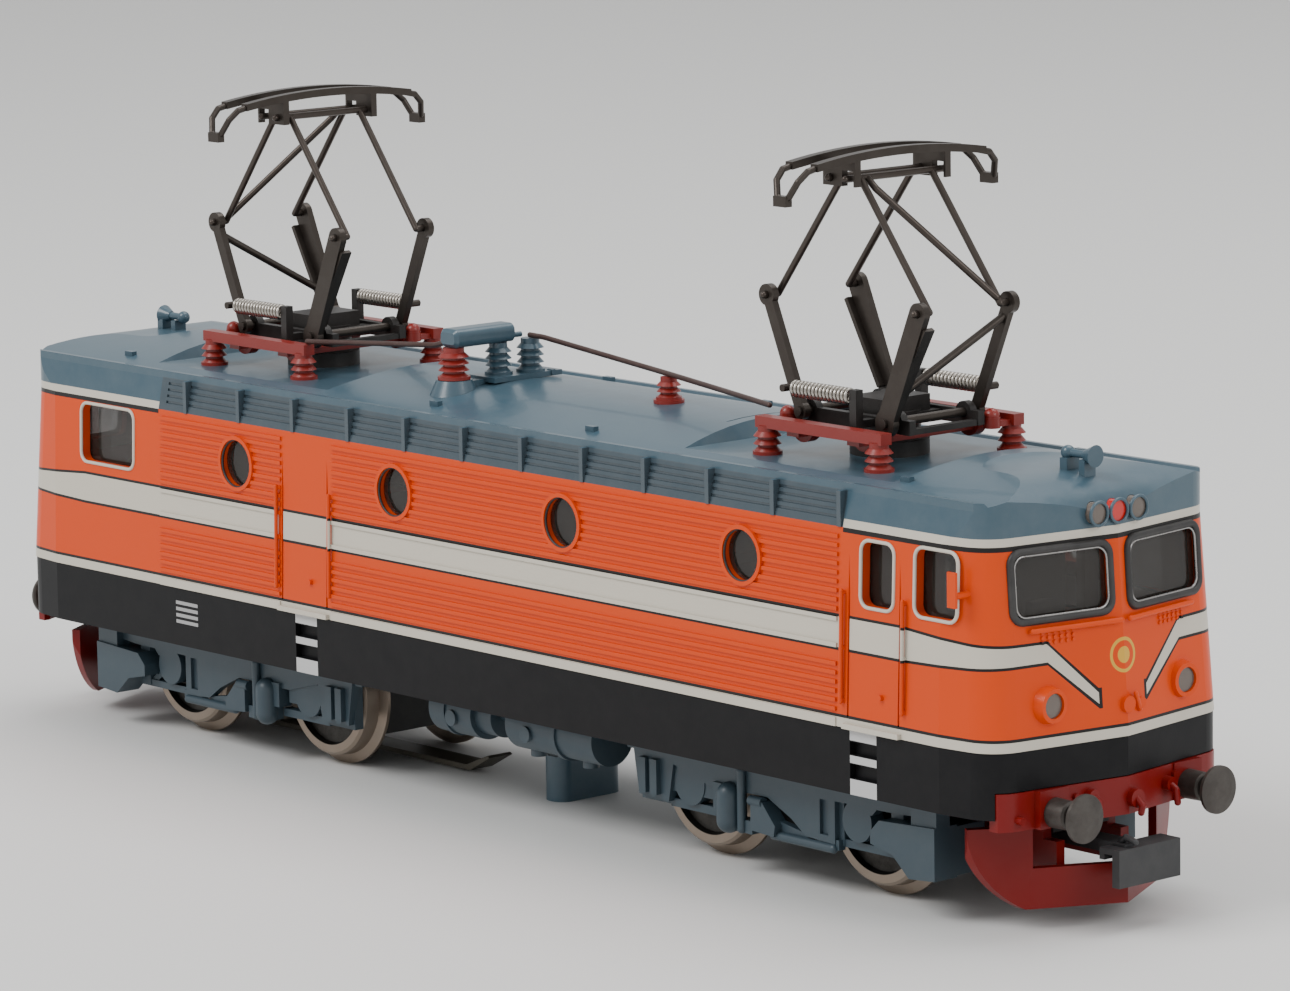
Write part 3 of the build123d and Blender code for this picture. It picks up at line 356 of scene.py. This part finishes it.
@dataclass(frozen=True)
class Finish:
    """A plain finish.

    Args:
        name: Material name, also the record's slot name.
        color: Linear base colour.
        roughness: Surface roughness.
        metallic: 0 for paint and plastic, 1 for bare metal.
        coat: Clear coat weight.
        dust: How much dust lies on it.
        grain: Depth of the fine surface grain.
        grain_scale: Frequency of the grain per millimetre.
        shine: Strength of the clear reflection, 0.5 for ordinary plastic.
    """

    name: str
    color: Point
    roughness: float = 0.4
    metallic: float = 0.0
    coat: float = 0.0
    dust: float = 0.06
    grain: float = 0.15
    grain_scale: float = 5.0
    shine: float = 0.5

    def build(self, effects: Effects,
              paint: Optional[Callable[[Shader, object], object]] = None) -> bpy.types.Material:
        """Makes the material.

        Args:
            effects: Shared node groups.
            paint: Optional function that paints over the base colour.

        Returns:
            The material.
        """
        sh = Shader(self.name)
        color: object = self.color
        if paint:
            color = paint(sh, color)
        dusty = sh.group(effects.dust, Color=color, Roughness=self.roughness, Place=sh.place, Amount=self.dust)
        sh.link(dusty.outputs["Color"], sh.surface.inputs["Base Color"])
        sh.link(dusty.outputs["Roughness"], sh.surface.inputs["Roughness"])
        grain = sh.group(effects.grain, Place=sh.place, Scale=self.grain_scale, Depth=self.grain)
        sh.link(grain.outputs["Normal"], sh.surface.inputs["Normal"])
        sh.surface.inputs["Metallic"].default_value = self.metallic
        sh.surface.inputs["Coat Weight"].default_value = self.coat
        sh.surface.inputs["Specular IOR Level"].default_value = self.shine
        return sh.material


@dataclass(frozen=True)
class ClearFinish:
    """A clear or tinted moulding.

    Args:
        name: Material name.
        color: Tint.
        alpha: Opacity.
        roughness: Surface roughness.
        glow: Strength of a faint glow that stands for light led to the lens.
    """

    name: str
    color: Point
    alpha: float
    roughness: float = 0.08
    glow: float = 0.0

    def build(self) -> bpy.types.Material:
        """Makes the material.

        Returns:
            The material.
        """
        sh = Shader(self.name)
        s = sh.surface.inputs
        s["Base Color"].default_value = (*self.color, 1)
        s["Roughness"].default_value = self.roughness
        s["Alpha"].default_value = self.alpha
        s["Coat Weight"].default_value = 0.3
        s["Emission Color"].default_value = (*self.color, 1)
        s["Emission Strength"].default_value = self.glow
        return sh.material


CREAM: Point = (0.56, 0.52, 0.44)
LINING: Point = (0.012, 0.011, 0.011)
YELLOW: Point = (0.62, 0.36, 0.05)


class Livery:
    """Painted stripes, lining and plain marks of the body, as masks over the base colour."""

    @staticmethod
    def body(sh: Shader, base) -> bpy.types.NodeSocket:
        """Stripes, lining and the plain nose roundel on the orange shell.

        Args:
            sh: Shader being built.
            base: Base colour.

        Returns:
            Painted colour.
        """
        ax, ay = sh.math("ABSOLUTE", sh.x), sh.math("ABSOLUTE", sh.y)
        # the stripe narrows towards the cab end and dives in a V on the nose
        top = sh.ramp(ax, 70.0, 83.0, 30.67, 29.75)
        low = sh.ramp(ax, 70.0, 83.0, 27.5, 27.9)
        dive = sh.math("MULTIPLY", sh.ramp(ay, 3.4, 9.4, 1.0, 0.0), sh.math("GREATER_THAN", ax, 80.0))
        top = sh.math("SUBTRACT", top, sh.math("MULTIPLY", dive, 5.6))
        low = sh.math("SUBTRACT", low, sh.math("MULTIPLY", dive, 4.9))
        on_body = sh.either(sh.math("LESS_THAN", ax, 80.0), sh.math("GREATER_THAN", ay, 3.4))
        on_body_wide = sh.either(sh.math("LESS_THAN", ax, 80.0), sh.math("GREATER_THAN", ay, 3.0))
        line = sh.math("ADD", sh.math("MULTIPLY", dive, 0.18), 0.3)
        outer = sh.both(sh.between(sh.z, sh.math("SUBTRACT", low, line), sh.math("ADD", top, line)),
                        on_body_wide)
        stripe = sh.both(sh.between(sh.z, low, top), on_body)
        turned_x = sh.math("MULTIPLY", sh.x, sh.math("MULTIPLY", sh.math("SIGN", sh.y), -1.0))
        gaps = sh.either(sh.between(turned_x, 61.2, 62.6), sh.between(turned_x, 70.25, 70.9),
                         sh.between(turned_x, -32.4, -31.5), sh.between(turned_x, -23.5, -22.6))
        gaps = sh.both(gaps, sh.math("LESS_THAN", ax, 80.0))
        keep = sh.math("SUBTRACT", 1.0, gaps)
        outer, stripe = sh.both(outer, keep), sh.both(stripe, keep)
        sill_line = sh.between(sh.z, 20.35, 20.68)
        sill = sh.math("LESS_THAN", sh.z, 20.36)
        cab = sh.either(sh.math("GREATER_THAN", turned_x, 61.6), sh.math("LESS_THAN", turned_x, -55.3))
        head_line = sh.both(sh.between(sh.z, 39.4, 39.95), cab)
        r = sh.math("SQRT", sh.math("ADD", sh.math("MULTIPLY", ay, ay),
                                    sh.math("POWER", sh.math("SUBTRACT", sh.z, 27.6), 2.0)))
        disc = sh.both(sh.either(sh.between(r, 1.45, 1.8), sh.math("LESS_THAN", r, 0.85)),
                       sh.math("GREATER_THAN", ax, 80.0))
        color = sh.mix(sh.either(outer, sill_line, head_line), base, LINING)
        color = sh.mix(sh.either(stripe, sill), color, CREAM)
        return sh.mix(disc, color, YELLOW)

    @staticmethod
    def roof(sh: Shader, base) -> bpy.types.NodeSocket:
        """Cream edge of the roof round the cabs and shaded louvre bands.

        Args:
            sh: Shader being built.
            base: Base colour.

        Returns:
            Painted colour.
        """
        turned_x = sh.math("MULTIPLY", sh.x, sh.math("MULTIPLY", sh.math("SIGN", sh.y), -1.0))
        cab = sh.either(sh.math("GREATER_THAN", turned_x, 61.6), sh.math("LESS_THAN", turned_x, -55.3),
                        sh.math("GREATER_THAN", sh.math("ABSOLUTE", sh.x), 80.0))
        edge = sh.both(sh.math("LESS_THAN", sh.z, 40.75), cab)
        band = sh.both(sh.between(sh.math("ABSOLUTE", sh.y), 15.9, 20.0), sh.math("LESS_THAN", sh.z, 43.6),
                       sh.math("SUBTRACT", 1.0, cab))
        color = sh.mix(sh.math("MULTIPLY", band, 0.75), base, (0.035, 0.05, 0.062))
        return sh.mix(edge, color, CREAM)

    @staticmethod
    def skirt(sh: Shader, base) -> bpy.types.NodeSocket:
        """Pale step edges and a plain data panel on the skirt.

        Args:
            sh: Shader being built.
            base: Base colour.

        Returns:
            Painted colour.
        """
        turned_x = sh.math("MULTIPLY", sh.x, sh.math("MULTIPLY", sh.math("SIGN", sh.y), -1.0))
        treads = sh.either(sh.between(turned_x, 62.9, 66.85), sh.between(turned_x, -29.4, -25.45))
        rows = sh.either(sh.between(sh.z, 18.15, 19.15), sh.between(sh.z, 15.8, 16.6),
                         sh.between(sh.z, 12.3, 14.15))
        outside = sh.math("GREATER_THAN", sh.math("ABSOLUTE", sh.y), 17.0)
        panel = sh.both(sh.between(turned_x, -52.2, -48.0), sh.between(sh.z, 14.9, 17.9), outside)
        bars = sh.math("GREATER_THAN", sh.math("FRACT", sh.math("MULTIPLY", sh.z, 1.35)), 0.45)
        color = sh.mix(sh.both(treads, rows, outside), base, (0.50, 0.50, 0.50))
        return sh.mix(sh.both(panel, bars), color, (0.35, 0.35, 0.35))

    @staticmethod
    def wheels(sh: Shader, base) -> bpy.types.NodeSocket:
        """Darkened wheel faces inside bright worn rims.

        Args:
            sh: Shader being built.
            base: Base colour.

        Returns:
            Painted colour.
        """
        ax = sh.math("ABSOLUTE", sh.x)
        dx = sh.math("MINIMUM", sh.math("ABSOLUTE", sh.math("SUBTRACT", ax, 59.4)),
                     sh.math("ABSOLUTE", sh.math("SUBTRACT", ax, 33.1)))
        r = sh.math("SQRT", sh.math("ADD", sh.math("MULTIPLY", dx, dx),
                                    sh.math("POWER", sh.math("SUBTRACT", sh.z, AXLE_Z), 2.0)))
        return sh.mix(sh.math("LESS_THAN", r, 6.0), base, (0.02, 0.018, 0.016))


class Materials:
    """Every finish of the locomotive, by the record's slot name."""

    def __init__(self) -> None:
        """Builds the shared effects and all materials."""
        fx = Effects()
        plain = [
            (Finish("body_orange", (0.64, 0.055, 0.001), 0.34, coat=0.04, dust=0.005, shine=0.2), Livery.body),
            (Finish("roof_grey", (0.036, 0.078, 0.108), 0.30, coat=0.15, dust=0.05), Livery.roof),
            (Finish("skirt_black", (0.006, 0.006, 0.007), 0.40, dust=0.01, shine=0.15), Livery.skirt),
            (Finish("beam_red", (0.17, 0.004, 0.003), 0.32, dust=0.01, shine=0.25), None),
            (Finish("buffer_steel", (0.05, 0.043, 0.038), 0.42, metallic=0.6, dust=0.12, grain=0.4), None),
            (Finish("interior_grey", (0.02, 0.018, 0.016), 0.6), None),
            (Finish("ballast_metal", (0.12, 0.12, 0.12), 0.6, metallic=0.5), None),
            (Finish("insulator_red", (0.22, 0.012, 0.007), 0.33, dust=0.02), None),
            (Finish("conductor", (0.06, 0.03, 0.025), 0.4, metallic=0.5), None),
            (Finish("bogie_grey", (0.028, 0.050, 0.066), 0.42, dust=0.03), None),
            (Finish("block_black", (0.012, 0.012, 0.012), 0.55, dust=0.04), None),
            (Finish("wheel_steel", (0.30, 0.24, 0.19), 0.35, metallic=0.85, dust=0.15), Livery.wheels),
            (Finish("coupler_black", (0.02, 0.021, 0.023), 0.5, dust=0.05), None),
            (Finish("shoe_brass", (0.10, 0.09, 0.07), 0.4, metallic=0.6), None),
            (Finish("pantograph_black", (0.016, 0.014, 0.013), 0.45, metallic=0.3, dust=0.05), None),
            (Finish("pantograph_metal", (0.045, 0.036, 0.030), 0.34, metallic=0.7, dust=0.04, grain=0.3), None),
            (Finish("pantograph_wire", (0.055, 0.043, 0.036), 0.32, metallic=0.7, dust=0.03), None),
            (Finish("spring_steel", (0.42, 0.39, 0.35), 0.25, metallic=1.0), None),
            (Finish("window_cream", CREAM, 0.4), None),
            (Finish("rubber_black", (0.014, 0.013, 0.013), 0.5), None),
            (Finish("bright_trim", (0.35, 0.34, 0.33), 0.25, metallic=0.8), None),
            (Finish("copper_cable", (0.14, 0.045, 0.03), 0.4, metallic=0.3), None),
        ]
        self.by_name = {f.name: f.build(fx, paint) for f, paint in plain}
        for clear in (ClearFinish("lens_clear", (0.16, 0.13, 0.11), 0.8, 0.10),
                      ClearFinish("lens_red", (0.55, 0.02, 0.015), 0.97, 0.15),
                      ClearFinish("glazing", (0.035, 0.030, 0.026), 0.5, 0.04)):
            self.by_name[clear.name] = clear.build()

    def apply_to_frame(self) -> None:
        """Gives each CAD node its slot's material."""
        for row in frame["record"]["subparts"]:
            node, name = row["node"], row["material_slot"]
            obj = frame["nodes"][node]
            obj.data.materials.clear()
            obj.data.materials.append(self.by_name[name])


# ------------------------------------------------------------------ mesh helpers
class MeshPiece:
    """One added piece: a bmesh that is finished into an object riding on a CAD body."""

    def __init__(self, name: str, body: str, material: bpy.types.Material, slot: str) -> None:
        """Starts an empty piece.

        Args:
            name: Object name.
            body: CAD body it moves with.
            material: Its material.
            slot: The record's slot name; not used.
        """
        self.name, self.body, self.material, self.slot = name, body, material, slot
        self.bm = bmesh.new()

    def tube(self, path: Sequence[Point], radius: float, closed: bool = False, sides: int = 10) -> "MeshPiece":
        """A round wire swept along a path, in millimetres.

        Args:
            path: Points of the centre line.
            radius: Wire radius.
            closed: True for a ring.
            sides: Sides of the section.

        Returns:
            This piece.
        """
        points = [Vector(p) for p in path]
        count = len(points)
        rings = []
        for i, p in enumerate(points):
            before = points[i - 1] if i or closed else p
            after = points[(i + 1) % count] if i < count - 1 or closed else p
            along = (after - before).normalized()
            made = bmesh.ops.create_circle(self.bm, cap_ends=False, segments=sides, radius=radius)
            up = Vector((0, 0, 1)) if abs(along.z) < 0.95 else Vector((1, 0, 0))
            side = along.cross(up).normalized()
            turn = Matrix((side, side.cross(along) * -1, along)).transposed().to_4x4()
            bmesh.ops.transform(self.bm, matrix=Matrix.Translation(p) @ turn, verts=made["verts"])
            ring = set(made["verts"])
            rings.append([e for e in self.bm.edges if e.verts[0] in ring and e.verts[1] in ring])
        for a, b in zip(rings, rings[1:] + (rings[:1] if closed else [])):
            bmesh.ops.bridge_loops(self.bm, edges=a + b)
        if not closed:
            bmesh.ops.holes_fill(self.bm, edges=rings[0] + rings[-1], sides=0)
        return self

    def box(self, low: Point, high: Point, bevel: float = 0.0) -> "MeshPiece":
        """A box with eased edges, in millimetres.

        Args:
            low: Lowest corner.
            high: Highest corner.
            bevel: Edge radius.

        Returns:
            This piece.
        """
        made = bmesh.ops.create_cube(self.bm, size=1.0)["verts"]
        a, b = Vector(low), Vector(high)
        bmesh.ops.scale(self.bm, vec=b - a, verts=made)
        bmesh.ops.translate(self.bm, vec=(a + b) / 2, verts=made)
        if bevel:
            edges = list({e for v in made for e in v.link_edges})
            bmesh.ops.bevel(self.bm, geom=edges, offset=bevel, offset_type="OFFSET", segments=2, profile=0.5,
                            affect="EDGES", material=-1)
        return self

    def drum(self, centre: Point, axis: Point, radius: float, length: float, sides: int = 24,
             taper: float = 1.0) -> "MeshPiece":
        """A cylinder or cone, in millimetres.

        Args:
            centre: Middle of the drum.
            axis: Direction of its axis.
            radius: Radius at the start.
            length: Length.
            sides: Sides of the round.
            taper: End radius as a share of the start radius.

        Returns:
            This piece.
        """
        turn = Vector((0, 0, 1)).rotation_difference(Vector(axis)).to_matrix().to_4x4()
        bmesh.ops.create_cone(self.bm, cap_ends=True, segments=sides, radius1=radius, radius2=radius * taper,
                              depth=length, matrix=Matrix.Translation(Vector(centre)) @ turn)
        return self

    def turn_half(self) -> "MeshPiece":
        """Adds a copy turned half a turn about the middle of the locomotive.

        Returns:
            This piece.
        """
        copy = bmesh.ops.duplicate(self.bm, geom=list(self.bm.verts) + list(self.bm.edges) + list(self.bm.faces))
        verts = [g for g in copy["geom"] if isinstance(g, bmesh.types.BMVert)]
        bmesh.ops.rotate(self.bm, cent=(0, 0, 0), matrix=Matrix.Rotation(math.pi, 3, "Z"), verts=verts)
        return self

    def finish(self, smooth: bool = True) -> bpy.types.Object:
        """Turns the bmesh into an object at the origin and rides it on its body.

        Args:
            smooth: Smooth shading on faces of up to four corners.

        Returns:
            The object.
        """
        bmesh.ops.scale(self.bm, vec=(MM, MM, MM), verts=self.bm.verts)
        bmesh.ops.recalc_face_normals(self.bm, faces=self.bm.faces)
        for face in self.bm.faces:
            face.smooth = smooth and len(face.verts) <= 4
        mesh = bpy.data.meshes.new(self.name)
        self.bm.to_mesh(mesh)
        self.bm.free()
        mesh.materials.append(self.material)
        obj = bpy.data.objects.new(self.name, mesh)
        bpy.context.scene.collection.objects.link(obj)
        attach(obj, self.body)
        return obj


def rounded_loop(u0: float, u1: float, v0: float, v1: float, radius: float,
                 steps: int = 5) -> list[tuple[float, float]]:
    """Points round a rectangle with round corners.

    Args:
        u0: Low side.
        u1: High side.
        v0: Bottom.
        v1: Top.
        radius: Corner radius.
        steps: Points per corner.

    Returns:
        Points in order.
    """
    points = []
    for cu, cv, start in ((u1 - radius, v1 - radius, 0), (u0 + radius, v1 - radius, 90), (u0 + radius, v0 + radius, 180),
                          (u1 - radius, v0 + radius, 270)):
        for i in range(steps + 1):
            a = math.radians(start + 90 * i / steps)
            points.append((cu + radius * math.cos(a), cv + radius * math.sin(a)))
    return points


# ------------------------------------------------------------------ sub-assemblies
@dataclass
class SideTrim:
    """Cream frames of the side windows and dark rings of the portholes.

    Args:
        materials: Finishes.
    """

    materials: Materials

    def build(self) -> None:
        """Builds the trim of both sides."""
        frames = MeshPiece("side_window_frames", "chassis", self.materials.by_name["window_cream"], "body_orange")
        for o in (CAB_DOOR, DRIVER_SMALL, DRIVER_LARGE):
            loop = rounded_loop(o.x0 - 0.05, o.x1 + 0.05, o.z0 - 0.05, o.z1 + 0.05, 1.15)
            frames.tube([(x, -side_y(z) - 0.02, z) for x, z in loop], 0.2, closed=True)
        frames.turn_half().finish()
        rings = MeshPiece("porthole_seals", "chassis", self.materials.by_name["rubber_black"], "body_orange")
        for x in PORTHOLES_X:
            loop = [(x + PORTHOLE_R * math.cos(a), PORTHOLE_Z + PORTHOLE_R * math.sin(a))
                    for a in (math.tau * i / 28 for i in range(28))]
            rings.tube([(u, -side_y(v) - 0.1, v) for u, v in loop], 0.16, closed=True, sides=8)
        rings.turn_half().finish()


@dataclass
class NoseTrim:
    """Rubber frames and bright beads of the nose windows, bumps and lamp rims.

    Args:
        materials: Finishes.
    """

    materials: Materials

    def build(self) -> None:
        """Builds the trim of both noses."""
        rubber = MeshPiece("nose_window_rubbers", "chassis", self.materials.by_name["rubber_black"], "body_orange")
        bead = MeshPiece("nose_window_beads", "chassis", self.materials.by_name["bright_trim"], "body_orange")
        for sign in (-1, 1):
            y0, y1 = sorted((sign * NOSE_WINDOW_Y[0], sign * NOSE_WINDOW_Y[1]))
            for piece, grow, out, radius in ((rubber, 0.1, 0.05, 0.42), (bead, -0.3, 0.12, 0.13)):
                loop = rounded_loop(y0 - grow, y1 + grow, NOSE_WINDOW_Z[0] - grow, NOSE_WINDOW_Z[1] + grow, 1.2)
                piece.tube([(nose_x(y, z) + out, y, z) for y, z in loop], radius, closed=True)
        rubber.turn_half().finish()
        bead.turn_half().finish()
        bumps = MeshPiece("nose_bump_rows", "chassis", self.materials.by_name["body_orange"], "body_orange")
        for sign in (-1, 1):
            for row in range(3):
                for i in range(6):
                    y = sign * (6.2 + 0.75 * i)
                    z = 30.9 - 0.5 * row
                    bumps.drum((nose_x(y, z) + 0.05, y, z), (1, 0, 0), 0.2, 0.3, sides=8)
        bumps.turn_half().finish()
        rims = MeshPiece("top_lamp_rims", "chassis", self.materials.by_name["roof_grey"], "roof_grey")
        for i in (-1, 0, 1):
            loop = [(i * 2.83 + 1.2 * math.cos(a), 42.2 + 1.2 * math.sin(a))
                    for a in (math.tau * k / 24 for k in range(24))]
            rims.tube([(84.3, y, z) for y, z in loop], 0.17, closed=True, sides=8)
        rims.turn_half().finish()


class Stage:
    """Table surface, backdrop and light."""

    def build(self) -> None:
        """Adds the table, the backdrop colour and the lamps."""
        bm = bmesh.new()
        bmesh.ops.create_grid(bm, x_segments=2, y_segments=2, size=3.0)
        mesh = bpy.data.meshes.new("table")
        bm.to_mesh(mesh)
        bm.free()
        table = bpy.data.objects.new("table", mesh)
        bpy.context.scene.collection.objects.link(table)
        sh = Shader("table_surface")
        sh.surface.inputs["Base Color"].default_value = (0.66, 0.66, 0.65, 1)
        sh.surface.inputs["Roughness"].default_value = 0.6
        mesh.materials.append(sh.material)
        world = bpy.data.worlds.new("studio")
        world.use_nodes = True
        background = world.node_tree.nodes["Background"]
        background.inputs["Color"].default_value = (0.74, 0.74, 0.74, 1)
        background.inputs["Strength"].default_value = 1.05
        bpy.context.scene.world = world
        for name, place, target, size, power in (
                ("key", (-0.25, -0.75, 0.85), (0, 0, 0.02), 0.5, 9.0),
                ("front", (0.95, 0.15, 0.55), (0.05, 0, 0.03), 0.4, 3.0),
                ("top", (0.0, 0.35, 1.0), (0, 0, 0.04), 0.7, 6.0)):
            lamp = bpy.data.lights.new(name, "AREA")
            lamp.shape, lamp.size, lamp.energy = "SQUARE", size, power
            obj = bpy.data.objects.new(name, lamp)
            obj.location = place
            obj.rotation_euler = (Vector(target) - Vector(place)).to_track_quat("-Z", "Y").to_euler()
            bpy.context.scene.collection.objects.link(obj)


@dataclass(frozen=True)
class Viewpoint:
    """The camera.

    Args:
        place: Camera place in millimetres.
        azimuth: Direction round the object in degrees.
        elevation: Downward tilt in degrees.
        roll: Roll in degrees.
        lens: Focal length on a 36 mm sensor.
        shift: Lens shift.
    """

    place: Point = (489.3, -412.1, 140.2)
    azimuth: float = 48.56
    elevation: float = 9.32
    roll: float = -0.82
    lens: float = 162.7
    shift: tuple[float, float] = (-0.0512, -0.0098)

    def build(self) -> None:
        """Adds the camera and makes it the scene's."""
        az, el, roll = (math.radians(v) for v in (self.azimuth, self.elevation, self.roll))
        forward = Vector((-math.sin(az) * math.cos(el), math.cos(az) * math.cos(el), -math.sin(el)))
        right = Vector((math.cos(az), math.sin(az), 0))
        up = right.cross(forward)
        right2 = right * math.cos(roll) + up * math.sin(roll)
        up2 = up * math.cos(roll) - right * math.sin(roll)
        cam = bpy.data.cameras.new("view")
        cam.lens, cam.sensor_width = self.lens, 36.0
        cam.shift_x, cam.shift_y = self.shift
        cam.clip_start = 0.01
        obj = bpy.data.objects.new("view", cam)
        turn = Matrix((right2, up2, -forward)).transposed().to_4x4()
        obj.matrix_world = Matrix.Translation(Vector(self.place) * MM) @ turn
        bpy.context.scene.collection.objects.link(obj)
        bpy.context.scene.camera = obj


def main() -> None:
    """Builds the scene in order."""
    Viewpoint().build()
    materials = Materials()
    materials.apply_to_frame()
    SideTrim(materials).build()
    NoseTrim(materials).build()
    Stage().build()


if __name__ == "__main__":
    main()
